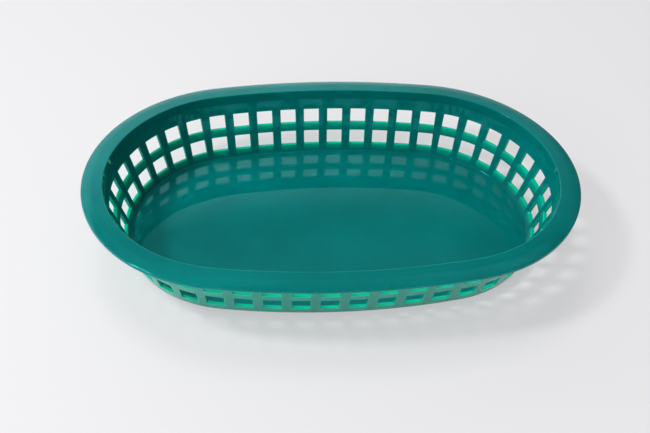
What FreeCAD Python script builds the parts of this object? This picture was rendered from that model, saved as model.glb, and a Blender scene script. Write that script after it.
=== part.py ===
import FreeCAD, Part
import math
import os
import Sketcher

# An oval serving basket, moulded in one piece. Its plan is an oval of four
# tangent arcs. The origin is under the middle, on the surface it stands on,
# with X along the length and Z up. All lengths are in mm.

# Driving sizes
drivingSizes = [
    ("length", 266.7),          # outside of the rim, end to end
    ("width", 171.0),           # outside of the rim, side to side
    ("height", 41.3),           # table to the top of the rim
    ("sideBow", 4.4),           # rise of the long sides past the end arcs
    ("wallDraft", 16.0),        # lean of the wall from upright
    ("wallThickness", 2.0),     # measured level
    ("rimWidth", 11.2),         # outer edge to the inside of the wall
    ("rimLand", 5.85),          # the wall stands upright under the rim
    ("rimThickness", 2.0),
    ("rimFlat", 6.0),           # where the top starts to fall outward
    ("rimFall", 0.9),
    ("lipDepth", 2.3),          # upright outer edge of the rim
    ("lipWidth", 1.6),
    ("lipBevel", 0.5),
    ("innerBevel", 0.4),
    ("floorThickness", 2.3),
    ("floorSlope", 3.0),        # the floor climbs away from the wall
    ("slopeRun", 27.0),
    ("crownSlope", 2.0),        # then less, up to the flat middle
    ("crownRun", 18.0),
    ("footReach", 9.0),         # flat band it stands on
    ("baseRadius", 4.0),
    ("floorBevel", 0.8),        # where the floor meets the wall
    ("windowWidth", 9.2),
    ("windowHeight", 8.6),
    ("windowDrop", 12.3),       # top of the rim to the upper row
    ("rowGap", 4.8),
    ("endColumns", 14),
    ("sideColumns", 8),
]

doc = FreeCAD.newDocument("OvalBasket")
sheet = doc.addObject("Spreadsheet::Sheet", "sizes")
for row, (name, number) in enumerate(drivingSizes, start=1):
    sheet.set("A%d" % row, name)
    sheet.set("B%d" % row, str(number))
    sheet.setAlias("B%d" % row, name)
doc.recompute()


class Size:
    """A number together with the sheet formula that gives it."""

    def __init__(self, number, formula=None):
        self.number = float(number)
        self.formula = formula or repr(float(number))

    def join(self, other, sign, number):
        return Size(number, "(%s %s %s)" % (self.formula, sign, other.formula))

    def __add__(self, other):
        other = asSize(other)
        return self.join(other, "+", self.number + other.number)

    def __sub__(self, other):
        other = asSize(other)
        return self.join(other, "-", self.number - other.number)

    def __mul__(self, other):
        other = asSize(other)
        return self.join(other, "*", self.number * other.number)

    def __truediv__(self, other):
        other = asSize(other)
        return self.join(other, "/", self.number / other.number)


def asSize(item):
    return item if isinstance(item, Size) else Size(item)


def wave(kind, angle):
    # sine, cosine or tangent of an angle in degrees
    angle = asSize(angle)
    number = getattr(math, kind)(math.radians(angle.number))
    return Size(number, "%s(%s)" % (kind, angle.formula))


size = {name: Size(sheet.get(name), "sizes." + name) for name, number in drivingSizes}
height = size["height"]
draft = size["wallDraft"]
slope = size["floorSlope"]
thick = size["wallThickness"]

# The oval: end arcs about (+-endCentre, 0), side arcs about (0, +-sideCentre)
bow = size["sideBow"]
halfWidth = size["width"] / 2
endRadius = halfWidth - bow
endCentre = size["length"] / 2 - endRadius
sideRadius = (endCentre * endCentre + bow * bow) / (bow * 2) + endRadius
sideCentre = sideRadius - halfWidth
halfSide = Size(
    math.degrees(math.atan(endCentre.number / sideCentre.number)),
    "(atan(%s / %s) / 1 deg)" % (endCentre.formula, sideCentre.formula),
)


def wallInset(level):
    # inset of the inside of the wall from the rim's outer edge, at a level
    return size["rimWidth"] + (height - size["rimLand"] - level) * wave("tan", draft)


def sectionPoints(radius):
    # The section from the rim to the edge of the flat floor. Each point is x from the
    # centre of the plan's arc, z, and the radius of the arc that ends at the point.
    # All its arcs turn right.
    points = []

    def add(x, z, arc=None):
        points.append((x, z, arc))

    inner = radius - size["rimWidth"]
    edge = size["innerBevel"]
    bevel = size["lipBevel"]
    add(inner, height - size["rimLand"])
    add(inner, height - edge)
    add(inner + edge, height)
    # the top falls outward to an upright lip
    fallRun = size["rimFlat"] - bevel
    fall = size["rimFall"]
    fallRadius = (fallRun * fallRun + fall * fall) / (fall * 2)
    bottom = height - fall - size["lipDepth"]
    add(radius - size["rimFlat"], height)
    add(radius - bevel, height - fall, fallRadius)
    add(radius, height - fall - bevel)
    add(radius, bottom + bevel)
    add(radius - bevel, bottom)
    add(radius - size["lipWidth"], bottom)
    # underside of the rim, with a bevel where it meets the upright top of the wall
    under = height - size["rimThickness"]
    cornerX = inner + thick
    add(radius - size["rimFlat"], under)
    add(cornerX + bevel, under)
    add(cornerX, under - bevel)
    add(cornerX, height - size["rimLand"])
    # rounded outer corner at the base
    lean = wave("sin", draft)
    rise = wave("cos", draft)
    halfTurn = wave("tan", (Size(90) - draft) / 2)
    cornerX = radius - wallInset(Size(0)) + thick
    reach = size["baseRadius"] * halfTurn
    add(cornerX + reach * lean, reach * rise)
    add(cornerX - reach, Size(0), size["baseRadius"])
    add(cornerX - size["footReach"], Size(0))
    # underside and top of the climbing floor
    floor = size["floorThickness"]
    wallX = radius - wallInset(floor)
    slopeX = wallX - size["slopeRun"]
    slopeZ = floor + size["slopeRun"] * wave("tan", slope)
    crownX = slopeX - size["crownRun"]
    crownZ = slopeZ + size["crownRun"] * wave("tan", size["crownSlope"])
    add(slopeX, slopeZ - floor)
    add(crownX, crownZ - floor)
    add(crownX, crownZ)
    add(slopeX, slopeZ)
    # bevel between the floor and the wall
    reach = size["floorBevel"]
    add(wallX - reach * wave("cos", slope), floor + reach * wave("sin", slope))
    add(wallX + reach * lean, floor + reach * rise)
    return points, crownX, crownZ


def bind(sketch, index, name, formula):
    sketch.renameConstraint(index, name)
    sketch.setExpression("Constraints." + name, formula)


def vector(x, z):
    return FreeCAD.Vector(x.number, z.number, 0)


def arcBetween(start, end, radius):
    # the short arc from start to end that turns right
    chord = end - start
    across = FreeCAD.Vector(-chord.y, chord.x, 0).normalize()
    drop = math.sqrt(max(radius ** 2 - (chord.Length / 2) ** 2, 0.0))
    through = (start + end) * 0.5 + across * (radius - drop)
    return Part.Arc(start, through, end)


def drawSection(sketch, radius):
    points = sectionPoints(radius)[0]
    count = len(points)
    # an arc runs anticlockwise, so one that turns right has its ends swapped
    ends = []
    for k in range(count):
        x, z, arc = points[(k + 1) % count]
        start, end = vector(*points[k][:2]), vector(x, z)
        if arc is None:
            sketch.addGeometry(Part.LineSegment(start, end), False)
            ends.append((1, 2))
        else:
            sketch.addGeometry(arcBetween(start, end, arc.number), False)
            ends.append((2, 1))
    for k in range(count):
        after = (k + 1) % count
        sketch.addConstraint(Sketcher.Constraint("Coincident", k, ends[k][1], after, ends[after][0]))
    for k in range(count):
        x, z = points[k][:2]
        place = ends[k][0]
        index = sketch.addConstraint(Sketcher.Constraint("DistanceX", -1, 1, k, place, x.number))
        bind(sketch, index, "x%02d" % k, x.formula)
        if abs(z.number) < 1e-9:
            sketch.addConstraint(Sketcher.Constraint("PointOnObject", k, place, -1))
        else:
            index = sketch.addConstraint(Sketcher.Constraint("DistanceY", -1, 1, k, place, z.number))
            bind(sketch, index, "z%02d" % k, z.formula)
        arc = points[(k + 1) % count][2]
        if arc is not None:
            index = sketch.addConstraint(Sketcher.Constraint("Radius", k, arc.number))
            bind(sketch, index, "r%02d" % k, arc.formula)


def attach(sketch, body, role, base, angle):
    # put a sketch on an origin plane, shifted and turned about its own upright axis
    plane = [item for item in body.Origin.OriginFeatures if item.Role == role][0]
    sketch.AttachmentSupport = (plane, [""])
    sketch.MapMode = "FlatFace"
    sketch.AttachmentOffset = FreeCAD.Placement(
        FreeCAD.Vector(base[0].number, base[1].number, base[2].number),
        FreeCAD.Rotation(FreeCAD.Vector(0, 1, 0), angle.number),
    )
    for axis, item in zip("xyz", base):
        sketch.setExpression("AttachmentOffset.Base." + axis, item.formula)
    sketch.setExpression("AttachmentOffset.Rotation.Angle", angle.formula)


zero = Size(0)
arcs = [
    ("right", endCentre, zero, Size(0), endRadius, (Size(90) - halfSide) * 2, "end"),
    ("far", zero, zero - sideCentre, Size(90), sideRadius, halfSide * 2, "side"),
    ("left", zero - endCentre, zero, Size(180), endRadius, (Size(90) - halfSide) * 2, "end"),
    ("near", zero, sideCentre, Size(270), sideRadius, halfSide * 2, "side"),
]

body = doc.addObject("PartDesign::Body", "basket")
body.Label = "basket"

# Rim, wall and the outer part of the floor, one sector for each arc of the oval
sections = {}
for name, x, y, facing, radius, span, kind in arcs:
    section = body.newObject("Sketcher::SketchObject", name + "Section")
    attach(section, body, "XZ_Plane", (x, zero, zero - y), facing)
    drawSection(section, radius)
    sections[name] = section
    sector = body.newObject("PartDesign::Revolution", name + "Sector")
    sector.Profile = (section, [""])
    sector.ReferenceAxis = (section, ["V_Axis"])
    sector.Midplane = True
    sector.Angle = span.number
    sector.setExpression("Angle", span.formula)
    sector.Refine = False
    section.Visibility = False
doc.recompute()

# The flat middle of the floor
points, crownX, crownZ = sectionPoints(endRadius)
inset = endRadius - crownX
under = crownZ - size["floorThickness"]
plate = body.newObject("Sketcher::SketchObject", "floorPlate")
attach(plate, body, "XY_Plane", (zero, zero, under), zero)
for k, (name, x, y, facing, radius, span, kind) in enumerate(arcs):
    middle = math.radians(facing.number)
    half = math.radians(span.number / 2)
    circle = Part.Circle(FreeCAD.Vector(x.number, y.number, 0), FreeCAD.Vector(0, 0, 1), (radius - inset).number)
    plate.addGeometry(Part.ArcOfCircle(circle, middle - half, middle + half), False)
for k in range(3):
    plate.addConstraint(Sketcher.Constraint("Tangent", k, 2, k + 1, 1))
plate.addConstraint(Sketcher.Constraint("Coincident", 3, 2, 0, 1))
for k, axis in ((0, -1), (1, -2), (2, -1)):
    plate.addConstraint(Sketcher.Constraint("PointOnObject", k, 3, axis))
index = plate.addConstraint(Sketcher.Constraint("DistanceX", -1, 1, 0, 3, endCentre.number))
bind(plate, index, "endCentre", endCentre.formula)
index = plate.addConstraint(Sketcher.Constraint("DistanceX", 2, 3, -1, 1, endCentre.number))
bind(plate, index, "endCentreLeft", endCentre.formula)
index = plate.addConstraint(Sketcher.Constraint("DistanceY", 1, 3, -1, 1, sideCentre.number))
bind(plate, index, "sideCentre", sideCentre.formula)
index = plate.addConstraint(Sketcher.Constraint("DistanceY", -1, 1, 3, 3, sideCentre.number))
bind(plate, index, "sideCentreNear", sideCentre.formula)
index = plate.addConstraint(Sketcher.Constraint("Radius", 0, (endRadius - inset).number))
bind(plate, index, "endRadius", (endRadius - inset).formula)
floorPad = body.newObject("PartDesign::Pad", "floorPad")
floorPad.Profile = (plate, [""])
floorPad.Length = size["floorThickness"].number
floorPad.setExpression("Length", size["floorThickness"].formula)
doc.recompute()

# Two rows of square windows, cut through the wall about each arc's own centre
rowTops = {
    "upper": height - size["windowDrop"],
    "lower": height - size["windowDrop"] - size["windowHeight"] - size["rowGap"],
}


def drawWindow(sketch, top):
    # a square with its middle on the sketch's upright axis
    half = size["windowWidth"] / 2
    bottom = top - size["windowHeight"]
    corners = [(zero - half, bottom), (half, bottom), (half, top), (zero - half, top)]
    for k in range(4):
        start, end = vector(*corners[k]), vector(*corners[(k + 1) % 4])
        sketch.addGeometry(Part.LineSegment(start, end), False)
    for k in range(4):
        sketch.addConstraint(Sketcher.Constraint("Coincident", k, 2, (k + 1) % 4, 1))
    for k, kind in enumerate(("Horizontal", "Vertical", "Horizontal", "Vertical")):
        sketch.addConstraint(Sketcher.Constraint(kind, k))
    index = sketch.addConstraint(Sketcher.Constraint("DistanceX", 0, 1, -1, 1, half.number))
    bind(sketch, index, "leftHalf", half.formula)
    index = sketch.addConstraint(Sketcher.Constraint("DistanceX", -1, 1, 0, 2, half.number))
    bind(sketch, index, "rightHalf", half.formula)
    index = sketch.addConstraint(Sketcher.Constraint("DistanceY", -1, 1, 0, 1, bottom.number))
    bind(sketch, index, "bottom", bottom.formula)
    index = sketch.addConstraint(Sketcher.Constraint("DistanceY", -1, 1, 2, 1, top.number))
    bind(sketch, index, "top", top.formula)


# The columns stand evenly along the wall, measured at the top of the upper row
walkInset = wallInset(rowTops["upper"])
quarterWalk = (endRadius - walkInset) * (Size(90) - halfSide) + (sideRadius - walkInset) * halfSide
columnWalk = quarterWalk * 2 / (size["endColumns"] + size["sideColumns"])

# long enough to pass through the leaning wall over a window's whole height
cutLength = (size["windowHeight"] * wave("tan", draft) + thick) * 2

uncut = body.Shape.Volume
for name, x, y, facing, radius, span, kind in arcs:
    columns = size[kind + "Columns"]
    pitch = columnWalk / (radius - walkInset)
    first = facing - pitch * (columns - 1) / 2
    cuts = []
    for rowName, top in rowTops.items():
        wallRadius = radius - wallInset(top - size["windowHeight"] / 2)
        outX = x + wallRadius * wave("cos", first)
        outY = y + wallRadius * wave("sin", first)
        sketch = body.newObject("Sketcher::SketchObject", name + rowName.title() + "Window")
        attach(sketch, body, "YZ_Plane", (outY, zero, outX), first)
        drawWindow(sketch, top)
        cut = body.newObject("PartDesign::Pocket", name + rowName.title() + "Cut")
        cut.Profile = (sketch, [""])
        cut.Midplane = True
        cut.Length = cutLength.number
        cut.setExpression("Length", cutLength.formula)
        cut.Refine = False
        sketch.Visibility = False
        cuts.append(cut)
    doc.recompute()
    ring = body.newObject("PartDesign::PolarPattern", name + "Windows")
    ring.Originals = cuts
    ring.Axis = (sections[name], ["V_Axis"])
    sweep = pitch * (columns - 1)
    ring.Angle = sweep.number
    ring.setExpression("Angle", sweep.formula)
    ring.Occurrences = int(columns.number)
    ring.setExpression("Occurrences", columns.formula)
    ring.Refine = False
    body.Tip = ring
    doc.recompute()
    print(name, "windows cut", round(uncut - body.Shape.Volume, 1), "mm3 so far")

for item in doc.Objects:
    if "Invalid" in item.State or "Error" in item.State:
        raise RuntimeError("%s failed: %s" % (item.Name, item.State))
shape = body.Shape
if shape.isNull() or not shape.isValid() or len(shape.Solids) != 1:
    raise RuntimeError("the basket isn't one valid solid")

os.makedirs("parts", exist_ok=True)
shape.exportStep("parts/basket.step")
box = shape.BoundBox
print("basket", [round(v, 2) for v in (box.XLength, box.YLength, box.ZLength, box.ZMin)])
print("volume cm3", round(shape.Volume / 1000, 2), "faces", len(shape.Faces), "solids", len(shape.Solids))
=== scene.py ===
import bmesh
import bpy
import math
from mathutils import Matrix, Vector


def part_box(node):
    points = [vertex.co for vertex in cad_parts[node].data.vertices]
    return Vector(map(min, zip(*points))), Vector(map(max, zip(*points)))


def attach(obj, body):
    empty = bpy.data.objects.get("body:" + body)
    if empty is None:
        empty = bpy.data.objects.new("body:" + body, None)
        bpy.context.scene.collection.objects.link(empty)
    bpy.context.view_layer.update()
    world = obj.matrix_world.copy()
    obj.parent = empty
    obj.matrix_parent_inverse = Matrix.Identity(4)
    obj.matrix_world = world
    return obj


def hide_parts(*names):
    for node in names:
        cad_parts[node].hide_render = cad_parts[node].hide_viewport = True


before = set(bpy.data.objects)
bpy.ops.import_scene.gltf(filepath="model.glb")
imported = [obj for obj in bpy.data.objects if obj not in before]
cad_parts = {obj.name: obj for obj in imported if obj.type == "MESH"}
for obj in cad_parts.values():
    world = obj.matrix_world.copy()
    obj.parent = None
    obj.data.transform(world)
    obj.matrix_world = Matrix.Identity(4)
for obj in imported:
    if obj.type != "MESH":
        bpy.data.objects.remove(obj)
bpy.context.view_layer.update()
lowCorner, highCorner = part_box("basket")
mm = 0.001
up = Vector((0, 0, 1))
angleSlack = 1e-9       # degrees
levelSlack = 0.01       # mm
edgeSlack = 0.05        # mm
mergeDistance = 0.002   # mm
print("frame loaded")

# The basket: the same sizes as the solid that it stands for, in mm
basket = {
    "halfLength": highCorner.x / mm,
    "halfWidth": highCorner.y / mm,
    "height": highCorner.z / mm,
    "sideBow": 4.4,             # rise of the long sides past the end arcs
    "wallDraft": 16.0,          # degrees
    "wallThickness": 2.0,
    "rimWidth": 11.2,
    "rimLand": 5.85,            # how far below the top the wall turns upright
    "rimThickness": 2.0,
    "rimFlat": 6.0,             # where the top starts to fall outward
    "rimFall": 0.9,
    "rimEdgeDrop": 0.3,         # further fall at the rim's outer corner
    "lipDepth": 2.3,
    "lipWidth": 1.6,
    "floorThickness": 2.3,
    "floorSlope": 3.0,          # degrees
    "slopeRun": 27.0,
    "crownSlope": 2.0,          # degrees
    "crownRun": 18.0,
    "plateInset": 76.0,         # edge of the flat middle of the floor
    "footReach": 9.0,
    "windowWidth": 9.2,
    "windowHeight": 8.6,
    "windowDrop": 12.3,
    "rowGap": 4.8,
    "endColumns": 14,
    "sideColumns": 8,
    "windowSteps": 4,
    "barSteps": 2,
    "windowBevel": 0.25,
    "bevelSteps": 2,
    "sharpAngle": 50,       # degrees past which an edge stays sharp
    # painted light: how much lighter the light through the plastic is painted into the colour, where
    # 1 is a window's sill
    "sidePaintedLight": 0.4,        # the sides of the windows
    "belowPaintedLight": 0.75,      # just under a sill
    "outsidePaintedLight": 0.42,    # the wall's outside
    "outsideLean": (-0.5, -0.1),    # the only faces whose normals point down by this much
}
# Roundings of the section's corners, as (distance cut off each side in mm, steps)
rounds = {
    "land": (0.5, 2),
    "rimInner": (0.45, 4),
    "rimTop": (2.9, 7),
    "lipTop": (0.5, 3),
    "lip": (0.45, 3),
    "underRim": (0.8, 3),
    "base": (3.0, 7),
    "foot": (2.0, 3),
    "floorEdge": (0.8, 4),
    "floorBend": (8.0, 6),
}


def tan(degrees):
    return math.tan(math.radians(degrees))


def wallInset(level):
    # inset of the inside of the wall from the rim's outer edge
    b = basket
    return b["rimWidth"] + (b["height"] - b["rimLand"] - level) * tan(b["wallDraft"])


def windowRows():
    # (bottom, top) of each row of windows, the upper row first
    b = basket
    upper = b["height"] - b["windowDrop"]
    lower = upper - b["windowHeight"] - b["rowGap"]
    return [(top - b["windowHeight"], top) for top in (upper, lower)]


def sectionCorners():
    # (inset from the rim's edge, height, name of its rounding), from the middle
    # of the underside round the rim to the middle of the floor
    b = basket
    top = b["height"]
    floor = b["floorThickness"]
    thick = b["wallThickness"]
    levels = sorted(level for row in windowRows() for level in row)
    slopeInset = wallInset(floor) + b["slopeRun"]
    slopeLevel = floor + b["slopeRun"] * tan(b["floorSlope"])
    crownInset = slopeInset + b["crownRun"]
    crownLevel = slopeLevel + b["crownRun"] * tan(b["crownSlope"])
    footInset = wallInset(0) - thick + b["footReach"]
    under = top - b["rimThickness"]
    lipBottom = top - b["rimFall"] - b["lipDepth"]
    bendInset = b["rimFlat"] - rounds["rimTop"][0]
    corners = [
        (b["plateInset"], crownLevel - floor, None),
        (crownInset, crownLevel - floor, "floorBend"),
        (slopeInset, slopeLevel - floor, "floorBend"),
        (footInset, 0, "foot"),
        (wallInset(0) - thick, 0, "base"),
    ]
    corners += [(wallInset(level) - thick, level, None) for level in levels]
    corners += [
        (b["rimWidth"] - thick, top - b["rimLand"], "land"),
        (b["rimWidth"] - thick, under, "underRim"),
        (b["rimFlat"], under, "underRim"),
        (b["lipWidth"], lipBottom, "lip"),
        (0, lipBottom, "lip"),
        (0, top - b["rimFall"] - b["rimEdgeDrop"], "lipTop"),
        (bendInset, top, "rimTop"),
        (b["rimWidth"], top, "rimInner"),
        (b["rimWidth"], top - b["rimLand"], "land"),
    ]
    corners += [(wallInset(level), level, None) for level in reversed(levels)]
    corners += [
        (wallInset(floor), floor, "floorEdge"),
        (slopeInset, slopeLevel, "floorBend"),
        (crownInset, crownLevel, "floorBend"),
        (b["plateInset"], crownLevel, None),
    ]
    return corners


def planArcs():
    # the four arcs of the oval, anticlockwise from the right end
    b = basket
    endRadius = b["halfWidth"] - b["sideBow"]
    endCentre = b["halfLength"] - endRadius
    sideRadius = (endCentre ** 2 + b["sideBow"] ** 2) / (2 * b["sideBow"]) + endRadius
    sideCentre = sideRadius - b["halfWidth"]
    halfSide = math.degrees(math.atan2(endCentre, sideCentre))
    ribInset = wallInset(windowRows()[0][1])
    quarterWalk = (endRadius - ribInset) * (90 - halfSide) + (sideRadius - ribInset) * halfSide
    columnWalk = quarterWalk * 2 / (b["endColumns"] + b["sideColumns"])
    arcs = []
    for x, y, facing, radius, half, columns in (
        (endCentre, 0, 0, endRadius, 90 - halfSide, b["endColumns"]),
        (0, -sideCentre, 90, sideRadius, halfSide, b["sideColumns"]),
        (-endCentre, 0, 180, endRadius, 90 - halfSide, b["endColumns"]),
        (0, sideCentre, 270, sideRadius, halfSide, b["sideColumns"]),
    ):
        arcs.append({
            "centre": Vector((x, y, 0)),
            "facing": facing,
            "radius": radius,
            "half": half,
            "columns": columns,
            "pitch": columnWalk / (radius - ribInset),
            "ribRadius": radius - ribInset,
        })
    return arcs


def direction(degrees):
    return Vector((math.cos(math.radians(degrees)), math.sin(math.radians(degrees)), 0))


def windowPlaces(arcs):
    # the middle of each column of windows, as its arc's centre and its direction
    places = []
    for arc in arcs:
        for k in range(arc["columns"]):
            angle = arc["facing"] + (k - (arc["columns"] - 1) / 2) * arc["pitch"]
            places.append((arc, angle))
    return places


def crossing(place, offset, arc, inset):
    # where a line beside a column's own direction meets an arc of the wall
    home, angle = place
    out = direction(angle)
    start = home["centre"] + direction(angle + 90) * offset - arc["centre"]
    along = start.dot(out)
    reach = arc["radius"] - inset
    further = math.sqrt(along ** 2 - start.length_squared + reach ** 2) - along
    return start + arc["centre"] + out * further


def arcAngle(arc, point):
    # degrees of a point about an arc's centre, within half a turn of its middle
    spot = point - arc["centre"]
    angle = math.degrees(math.atan2(spot.y, spot.x)) - arc["facing"]
    return (angle + 180) % 360 - 180


def stations(arcs):
    # the turns of the spin, as (arc, angle from its middle, column and side of a window edge)
    b = basket
    half = b["windowWidth"] / 2
    ribInset = arcs[0]["radius"] - arcs[0]["ribRadius"]
    edges = []
    for place in windowPlaces(arcs):
        for side in (-1, 1):
            home = arcs.index(place[0])
            angle = arcAngle(arcs[home], crossing(place, side * half, arcs[home], ribInset))
            if abs(angle) > arcs[home]["half"]:     # past the joint, on the next arc
                home = (home + side) % len(arcs)
                angle = arcAngle(arcs[home], crossing(place, side * half, arcs[home], ribInset))
            edges.append((home, angle, place, side))
    edges.sort(key=lambda edge: (edge[0], edge[1]))
    found = []
    for k, (home, angle, place, side) in enumerate(edges):
        found.append((home, angle, place, side))
        home2, angle2 = edges[(k + 1) % len(edges)][:2]
        steps = b["windowSteps"] if side < 0 else b["barSteps"]
        here = arcs[home]
        if home2 == home:
            for n in range(1, steps):
                found.append((home, angle + (angle2 - angle) * n / steps, None, 0))
        else:
            there = arcs[home2]
            left = (here["half"] - angle) * here["ribRadius"]
            right = (angle2 + there["half"]) * there["ribRadius"]
            before = max(1, round(steps * left / (left + right)))
            for n in range(1, before):
                found.append((home, angle + (here["half"] - angle) * n / before, None, 0))
            found.append((home, here["half"], None, 0))
            after = max(1, steps - before)
            for n in range(1, after):
                found.append((home2, -there["half"] + (angle2 + there["half"]) * n / after, None, 0))
    return found


def drawSection(bm, arc, angle):
    # the rounded section as a wire, standing at an angle of an arc
    points = sectionCorners()
    out = direction(arc["facing"] + angle)
    verts = []
    for inset, level, corner in points:
        spot = arc["centre"] + out * (arc["radius"] - inset) + up * level
        verts.append(bm.verts.new(spot))
    for a, b in zip(verts, verts[1:]):
        bm.edges.new((a, b))
    for name, (cut, steps) in rounds.items():
        group = [v for v, point in zip(verts, points) if point[2] == name and v.is_valid]
        bmesh.ops.bevel(bm, geom=group, offset=cut, offset_type="OFFSET", segments=steps,
                        profile=0.5, affect="VERTICES", material=-1, clamp_overlap=False)


def amongWindows(level, slack):
    upper, lower = windowRows()
    return lower[0] - slack < level < upper[1] + slack


def buildShell(bm, arcs):
    # the section turned about the four arcs in turn, step by step
    walk = stations(arcs)
    home, angle = walk[0][:2]
    drawSection(bm, arcs[home], angle)
    ring = bm.verts[:] + bm.edges[:]
    rings = [bm.verts[:]]
    for home2, angle2, place, side in walk[1:] + walk[:1]:
        arc = arcs[home]
        if home2 != home and abs(angle - arc["half"]) < angleSlack:
            # past a joint the turn goes on about the next arc
            arc = arcs[home2]
            angle = -arc["half"]
        turned = bmesh.ops.spin(bm, geom=ring, cent=arc["centre"], axis=up,
                                angle=math.radians(angle2 - angle), steps=1, use_merge=False)
        ring = turned["geom_last"]
        rings.append([v for v in ring if isinstance(v, bmesh.types.BMVert)])
        home, angle = home2, angle2
    # window edges stand square to their column, so the bars between them taper
    for (home, angle, place, side), verts in zip(walk + walk[:1], rings):
        if place is None:
            continue
        arc = arcs[home]
        for v in verts:
            if amongWindows(v.co.z, levelSlack):
                inset = arc["radius"] - (v.co - arc["centre"]).xy.length
                spot = crossing(place, side * basket["windowWidth"] / 2, arc, inset)
                v.co.x, v.co.y = spot.x, spot.y
    bmesh.ops.remove_doubles(bm, verts=bm.verts, dist=mergeDistance)


def inColumn(window, point, slack):
    aside = (point - window["arc"]["centre"]).dot(window["across"])
    return abs(aside) < basket["windowWidth"] / 2 + slack


def inWindow(window, point, slack):
    level = window["bottom"] - slack < point.z < window["top"] + slack
    reach = (point - window["arc"]["centre"]).dot(window["out"])
    nearWall = reach > window["arc"]["radius"] - basket["halfWidth"] / 2
    return level and nearWall and inColumn(window, point, slack)


def openWindows(bm, arcs):
    # take the wall's faces out at each window, and join its inner and outer edges
    windows = []
    for arc, angle in windowPlaces(arcs):
        for bottom, top in windowRows():
            windows.append({
                "arc": arc,
                "out": direction(angle),
                "across": direction(angle + 90),
                "bottom": bottom,
                "top": top,
            })
    wall = [f for f in bm.faces if amongWindows(f.calc_center_median().z, 0)]
    cut = []
    for window in windows:
        cut += [f for f in wall if inWindow(window, f.calc_center_median(), 0)]
    bmesh.ops.delete(bm, geom=cut, context="FACES")
    rims = [e for e in bm.edges if e.is_boundary]
    # painted light through the plastic: 1 on a window's sill, fading out down the wall below it,
    # less on its sides
    paintedThroughLight = bm.loops.layers.float.new("painted_through_light")
    for window in windows:
        edges = [e for e in rims if inWindow(window, (e.verts[0].co + e.verts[1].co) / 2, edgeSlack)]
        low = {v for e in edges for v in e.verts if v.co.z < window["bottom"] + edgeSlack}
        for face in {f for v in low for f in v.link_faces}:
            middle = face.calc_center_median()
            if middle.z < window["bottom"] and inColumn(window, middle, 0):
                for corner in face.loops:
                    corner[paintedThroughLight] = basket["belowPaintedLight"] if corner.vert in low else 0
        for face in bmesh.ops.bridge_loops(bm, edges=edges)["faces"]:
            sill = all(v in low for v in face.verts)
            for corner in face.loops:
                corner[paintedThroughLight] = 1 if sill else basket["sidePaintedLight"]
    return rims


def paintLightOutside(bm):
    # painted light: the light that comes through to the wall's outside, painted into its colour
    paintedThroughLight = bm.loops.layers.float["painted_through_light"]
    least, most = basket["outsideLean"]
    for face in bm.faces:
        if least < face.normal.z < most and face.calc_center_median().z > basket["floorThickness"]:
            for corner in face.loops:
                corner[paintedThroughLight] = max(corner[paintedThroughLight], basket["outsidePaintedLight"])


def buildBasket():
    arcs = planArcs()
    bm = bmesh.new()
    buildShell(bm, arcs)
    # close the flat middle of the floor, above and below
    plates = [e for e in bm.edges if e.is_boundary]
    levels = sorted({round(e.verts[0].co.z, 2) for e in plates})
    for level in levels:
        loop = [e for e in plates if round(e.verts[0].co.z, 2) == level]
        bmesh.ops.edgeloop_fill(bm, edges=loop)
    rims = openWindows(bm, arcs)
    bmesh.ops.recalc_face_normals(bm, faces=bm.faces)
    # painted light on the wall's outside faces
    paintLightOutside(bm)
    bmesh.ops.bevel(bm, geom=[e for e in rims if e.is_valid], offset=basket["windowBevel"],
                    offset_type="OFFSET", segments=basket["bevelSteps"], profile=0.5,
                    affect="EDGES", material=-1, clamp_overlap=True)
    bmesh.ops.scale(bm, vec=(mm, mm, mm), verts=bm.verts)
    mesh = bpy.data.meshes.new("oval_basket")
    bm.to_mesh(mesh)
    print("basket", len(bm.verts), "points", len(bm.faces), "faces",
          "open edges", sum(e.is_boundary for e in bm.edges))
    bm.free()
    mesh.shade_smooth()
    mesh.set_sharp_from_angle(angle=math.radians(basket["sharpAngle"]))
    piece = bpy.data.objects.new("oval_basket", mesh)
    bpy.context.scene.collection.objects.link(piece)
    even = piece.modifiers.new("evenNormals", "WEIGHTED_NORMAL")
    even.keep_sharp = True
    even.weight = 60
    return piece


def link(tree, source, target):
    tree.links.new(source, target)


def operate(tree, kind, operation):
    node = tree.nodes.new(kind)
    node.operation = operation
    return node


def mapRange(tree, fromEnds, toEnds):
    node = tree.nodes.new("ShaderNodeMapRange")
    for name, value in zip(("From Min", "From Max", "To Min", "To Max"), fromEnds + toEnds):
        node.inputs[name].default_value = value
    return node


def mixColour(tree, colour):
    # sockets: 0 share, 6 and 7 the colours; output 2
    node = tree.nodes.new("ShaderNodeMix")
    node.data_type = "RGBA"
    node.inputs[7].default_value = colour
    return node


def bump(tree, distance):
    node = tree.nodes.new("ShaderNodeBump")
    node.inputs["Distance"].default_value = distance
    node.inputs["Strength"].default_value = 1
    return node


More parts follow.
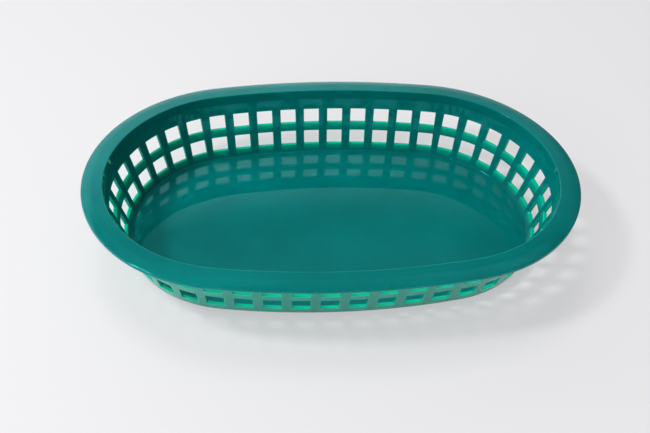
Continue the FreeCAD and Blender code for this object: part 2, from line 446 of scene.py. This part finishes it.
# Glossy dyed polypropylene that lets some light through
plastic = {
    "deep": (0.0, 0.176, 0.169, 1),
    "pale": (0.0, 0.218, 0.209, 1),
    "speck": (0.05, 0.300, 0.270, 1),
    "edge": (0.0, 0.54, 0.35, 1),   # painted light on the windows' sills, the colour of light through the plastic collecting there
    "sheen": (0.1, 1.0, 1.0, 1),    # tint of what it reflects head on
    "index": 1.55,
    "roughness": (0.012, 0.04),
    "glow": 1.0,
    "glowDepth": 0.0036,            # how far light creeps through it, in m
    "glowColours": (0.1, 1.0, 0.8),
    "tones": (0.3, 0.7),            # where the clouds are deep and where they are pale
    "dustFrom": (0.70, 0.78),
    "dustShare": 0.6,
    "scuffsFrom": (0.3, 0.75),
    # size of each pattern, as (scale, detail)
    "clouds": (22, 4),
    "dust": (700, 2),
    "scuffs": (160, 5),
    "ripples": (45, 1),
    "rippleDepth": 0.00003,         # m
    # ejector pin marks on the floor, mirrored about both middle planes: place and radius in m
    "pins": [
        ((0.0208, 0.0535, 0), 0.0046),
        ((0.0618, 0.0490, 0), 0.0046),
        ((0.1025, 0.0010, 0), 0.0056),
    ],
    "pinLine": (0.0005, 0.0001),    # where the outline fades in, m from the radius
    "pinDisc": (0.0, -0.0004),      # where the inside fades in
    "pinInside": 0.35,
    "pinDepth": 0.00004,
    "floorLevel": 0.0022,
}


def pinGroup():
    # one pin mark: 1 on its outline and a little inside it, 0 elsewhere
    group = bpy.data.node_groups.new("pin_mark", "ShaderNodeTree")
    group.interface.new_socket("Vector", in_out="INPUT", socket_type="NodeSocketVector")
    group.interface.new_socket("Centre", in_out="INPUT", socket_type="NodeSocketVector")
    group.interface.new_socket("Radius", in_out="INPUT", socket_type="NodeSocketFloat")
    group.interface.new_socket("Mask", in_out="OUTPUT", socket_type="NodeSocketFloat")
    given = group.nodes.new("NodeGroupInput")
    out = group.nodes.new("NodeGroupOutput")
    away = operate(group, "ShaderNodeVectorMath", "DISTANCE")
    past = operate(group, "ShaderNodeMath", "SUBTRACT")
    near = operate(group, "ShaderNodeMath", "ABSOLUTE")
    line = mapRange(group, plastic["pinLine"], (0, 1))
    disc = mapRange(group, plastic["pinDisc"], (0, plastic["pinInside"]))
    both = operate(group, "ShaderNodeMath", "MAXIMUM")
    link(group, given.outputs["Vector"], away.inputs[0])
    link(group, given.outputs["Centre"], away.inputs[1])
    link(group, away.outputs["Value"], past.inputs[0])
    link(group, given.outputs["Radius"], past.inputs[1])
    link(group, past.outputs["Value"], near.inputs[0])
    link(group, near.outputs["Value"], line.inputs["Value"])
    link(group, past.outputs["Value"], disc.inputs["Value"])
    link(group, line.outputs["Result"], both.inputs[0])
    link(group, disc.outputs["Result"], both.inputs[1])
    link(group, both.outputs["Value"], out.inputs["Mask"])
    return group


def noise(tree, coords, name):
    node = tree.nodes.new("ShaderNodeTexNoise")
    node.inputs["Scale"].default_value, node.inputs["Detail"].default_value = plastic[name]
    link(tree, coords.outputs["Object"], node.inputs["Vector"])
    return node


def pinMarks(tree, coords):
    # all the pin marks, kept to the upper face of the floor
    flat = operate(tree, "ShaderNodeVectorMath", "MULTIPLY")
    flat.inputs[1].default_value = (1, 1, 0)
    fold = operate(tree, "ShaderNodeVectorMath", "ABSOLUTE")
    split = tree.nodes.new("ShaderNodeSeparateXYZ")
    above = operate(tree, "ShaderNodeMath", "GREATER_THAN")
    above.inputs[1].default_value = plastic["floorLevel"]
    link(tree, coords.outputs["Object"], flat.inputs[0])
    link(tree, flat.outputs["Vector"], fold.inputs[0])
    link(tree, coords.outputs["Object"], split.inputs["Vector"])
    link(tree, split.outputs["Z"], above.inputs[0])
    group = pinGroup()
    marks = []
    for centre, radius in plastic["pins"]:
        mark = tree.nodes.new("ShaderNodeGroup")
        mark.node_tree = group
        mark.inputs["Centre"].default_value = centre
        mark.inputs["Radius"].default_value = radius
        link(tree, fold.outputs["Vector"], mark.inputs["Vector"])
        marks.append(mark.outputs["Mask"])
    total = marks[0]
    for mark in marks[1:]:
        most = operate(tree, "ShaderNodeMath", "MAXIMUM")
        link(tree, total, most.inputs[0])
        link(tree, mark, most.inputs[1])
        total = most.outputs["Value"]
    kept = operate(tree, "ShaderNodeMath", "MULTIPLY")
    link(tree, total, kept.inputs[0])
    link(tree, above.outputs["Value"], kept.inputs[1])
    return kept.outputs["Value"]


def greenPlastic():
    material = bpy.data.materials.new("green_plastic")
    material.use_nodes = True
    tree = material.node_tree
    tree.nodes.clear()
    out = tree.nodes.new("ShaderNodeOutputMaterial")
    shader = tree.nodes.new("ShaderNodeBsdfPrincipled")
    coords = tree.nodes.new("ShaderNodeTexCoord")
    # slow changes of tone, and a few pale specks of dust
    cloud = noise(tree, coords, "clouds")
    tone = tree.nodes.new("ShaderNodeValToRGB")
    for stop, name, place in zip(tone.color_ramp.elements, ("deep", "pale"), plastic["tones"]):
        stop.color = plastic[name]
        stop.position = place
    dust = noise(tree, coords, "dust")
    sparse = mapRange(tree, plastic["dustFrom"], (0, plastic["dustShare"]))
    dusted = mixColour(tree, plastic["speck"])
    # painted light: the colour is lighter where light would come through the plastic
    paintedLightShare = tree.nodes.new("ShaderNodeAttribute")
    paintedLightShare.attribute_name = "painted_through_light"
    paintedLightMix = mixColour(tree, plastic["edge"])
    # gloss, rougher where it is scuffed
    scuffs = noise(tree, coords, "scuffs")
    gloss = mapRange(tree, plastic["scuffsFrom"], plastic["roughness"])
    # faint sink ripples, and the pin marks
    ripples = noise(tree, coords, "ripples")
    waves = bump(tree, plastic["rippleDepth"])
    pins = bump(tree, plastic["pinDepth"])
    shader.inputs["Subsurface Weight"].default_value = plastic["glow"]
    shader.inputs["Subsurface Radius"].default_value = plastic["glowColours"]
    shader.inputs["Subsurface Scale"].default_value = plastic["glowDepth"]
    shader.inputs["IOR"].default_value = plastic["index"]
    shader.inputs["Specular Tint"].default_value = plastic["sheen"]
    link(tree, cloud.outputs["Fac"], tone.inputs["Fac"])
    link(tree, tone.outputs["Color"], dusted.inputs[6])
    link(tree, dust.outputs["Fac"], sparse.inputs["Value"])
    link(tree, sparse.outputs["Result"], dusted.inputs[0])
    link(tree, dusted.outputs[2], paintedLightMix.inputs[6])
    link(tree, paintedLightShare.outputs["Fac"], paintedLightMix.inputs[0])
    link(tree, paintedLightMix.outputs[2], shader.inputs["Base Color"])
    link(tree, scuffs.outputs["Fac"], gloss.inputs["Value"])
    link(tree, gloss.outputs["Result"], shader.inputs["Roughness"])
    link(tree, ripples.outputs["Fac"], waves.inputs["Height"])
    link(tree, pinMarks(tree, coords), pins.inputs["Height"])
    link(tree, waves.outputs["Normal"], pins.inputs["Normal"])
    link(tree, pins.outputs["Normal"], shader.inputs["Normal"])
    link(tree, shader.outputs["BSDF"], out.inputs["Surface"])
    return material


piece = buildBasket()
piece.data.materials.append(greenPlastic())
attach(piece, "root")
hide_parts("basket")
print("basket built")

# The table and the light
room = {
    "tableColour": (0.84, 0.835, 0.85, 1),
    "tableRoughness": 0.9,
    "tableShine": 0.1,
    "tableGlow": (0.86, 0.85, 0.87, 1),     # what the camera and reflections see of it, in part
    "tableGlowShare": 0.5,
    "tableSize": 6.0,
    # strength of the sky by the sine of its height, from the skyline to overhead
    "sky": [(0.0, 0.0), (0.50, 0.02), (0.70, 0.10), (0.82, 0.60)],
    # the same for the bright band near the skyline, which is on one side only
    "band": [(0.0, 1.0), (0.60, 1.0), (0.69, 0.22), (0.80, 0.0)],
    "bandSide": (-0.5, 0.87, 0),
    "bandFade": (0.38, 0.75),               # cosine from that side, dark to bright
    "bandDark": 0.1,
}
# The lamps, aimed at the basket: name, place, width, height, watts, mirrored in it or not
lamps = [
    ("keyLamp", (-0.77, -0.07, 0.92), 0.18, 0.18, 5.6, True),
    ("backLamp", (-0.35, 0.68, 1.75), 0.6, 0.6, 5.5, False),
    ("frontLamp", (-0.75, -0.90, 0.55), 0.7, 0.5, 5.5, False),
]


def tableMaterial():
    # the camera and reflections see it paler and more even than it is lit
    material = bpy.data.materials.new("table_cloth")
    material.use_nodes = True
    tree = material.node_tree
    shader = tree.nodes["Principled BSDF"]
    shader.inputs["Base Color"].default_value = room["tableColour"]
    shader.inputs["Roughness"].default_value = room["tableRoughness"]
    shader.inputs["Specular IOR Level"].default_value = room["tableShine"]
    glow = tree.nodes.new("ShaderNodeEmission")
    glow.inputs["Color"].default_value = room["tableGlow"]
    path = tree.nodes.new("ShaderNodeLightPath")
    cameraOrMirror = operate(tree, "ShaderNodeMath", "MAXIMUM")
    seen = operate(tree, "ShaderNodeMath", "MAXIMUM")
    share = operate(tree, "ShaderNodeMath", "MULTIPLY")
    share.inputs[1].default_value = room["tableGlowShare"]
    blend = tree.nodes.new("ShaderNodeMixShader")
    link(tree, path.outputs["Is Camera Ray"], cameraOrMirror.inputs[0])
    link(tree, path.outputs["Is Glossy Ray"], cameraOrMirror.inputs[1])
    link(tree, cameraOrMirror.outputs["Value"], seen.inputs[0])
    link(tree, path.outputs["Is Transmission Ray"], seen.inputs[1])
    link(tree, seen.outputs["Value"], share.inputs[0])
    link(tree, share.outputs["Value"], blend.inputs["Fac"])
    link(tree, shader.outputs["BSDF"], blend.inputs[1])
    link(tree, glow.outputs["Emission"], blend.inputs[2])
    link(tree, blend.outputs["Shader"], tree.nodes["Material Output"].inputs["Surface"])
    return material


def heightRamp(tree, split, stops):
    ramp = tree.nodes.new("ShaderNodeValToRGB")
    for k, (sine, strength) in enumerate(stops):
        stop = ramp.color_ramp.elements[k] if k < 2 else ramp.color_ramp.elements.new(sine)
        stop.position = sine
        stop.color = (strength, strength, strength, 1)
    link(tree, split.outputs["Z"], ramp.inputs["Fac"])
    return ramp


def buildSky():
    world = bpy.data.worlds.new("studio")
    bpy.context.scene.world = world
    world.use_nodes = True
    tree = world.node_tree
    coords = tree.nodes.new("ShaderNodeTexCoord")
    split = tree.nodes.new("ShaderNodeSeparateXYZ")
    side = operate(tree, "ShaderNodeVectorMath", "DOT_PRODUCT")
    side.inputs[1].default_value = room["bandSide"]
    fade = mapRange(tree, room["bandFade"], (room["bandDark"], 1))
    link(tree, coords.outputs["Generated"], split.inputs["Vector"])
    link(tree, coords.outputs["Generated"], side.inputs[0])
    link(tree, side.outputs["Value"], fade.inputs["Value"])
    over = heightRamp(tree, split, room["sky"])
    band = heightRamp(tree, split, room["band"])
    strength = operate(tree, "ShaderNodeMath", "MULTIPLY_ADD")
    link(tree, band.outputs["Color"], strength.inputs[0])
    link(tree, fade.outputs["Result"], strength.inputs[1])
    link(tree, over.outputs["Color"], strength.inputs[2])
    link(tree, strength.outputs["Value"], tree.nodes["Background"].inputs["Strength"])
    tree.nodes["Background"].inputs["Color"].default_value = (1, 1, 1, 1)


def buildRoom():
    bm = bmesh.new()
    bmesh.ops.create_grid(bm, x_segments=1, y_segments=1, size=room["tableSize"] / 2)
    mesh = bpy.data.meshes.new("table")
    bm.to_mesh(mesh)
    bm.free()
    table = bpy.data.objects.new("table", mesh)
    bpy.context.scene.collection.objects.link(table)
    table.data.materials.append(tableMaterial())
    for name, place, width, height, watts, mirrored in lamps:
        light = bpy.data.lights.new(name, "AREA")
        light.shape = "RECTANGLE"
        light.size = width
        light.size_y = height
        light.energy = watts
        lamp = bpy.data.objects.new(name, light)
        bpy.context.scene.collection.objects.link(lamp)
        lamp.location = place
        lamp.rotation_euler = (-Vector(place)).to_track_quat("-Z", "Y").to_euler()
        lamp.visible_glossy = mirrored
    buildSky()


buildRoom()
print("room built")

# The camera, as fitted to the photograph
view = {
    "azimuth": -6.542,      # degrees
    "elevation": 43.465,
    "roll": 2.782,
    "distance": 448.205,    # mm
    "target": (-3.149, 6.483, 0),
    "lens": 42.71,
    "sensor": 36,
}


def placeCamera():
    azimuth, elevation = math.radians(view["azimuth"]), math.radians(view["elevation"])
    back = Vector((
        math.sin(azimuth) * math.cos(elevation),
        -math.cos(azimuth) * math.cos(elevation),
        math.sin(elevation),
    ))
    right = (-back).cross(up).normalized()
    over = right.cross(-back)
    turn = math.radians(view["roll"])
    sideways = right * math.cos(turn) + over * math.sin(turn)
    upright = over * math.cos(turn) - right * math.sin(turn)
    data = bpy.data.cameras.new("camera")
    data.sensor_width = view["sensor"]
    data.lens = view["lens"]
    camera = bpy.data.objects.new("camera", data)
    bpy.context.scene.collection.objects.link(camera)
    pose = Matrix((sideways, upright, back)).transposed().to_4x4()
    pose.translation = (Vector(view["target"]) + back * view["distance"]) * mm
    camera.matrix_world = pose
    bpy.context.scene.camera = camera


placeCamera()
bpy.context.scene.view_settings.view_transform = "Standard"
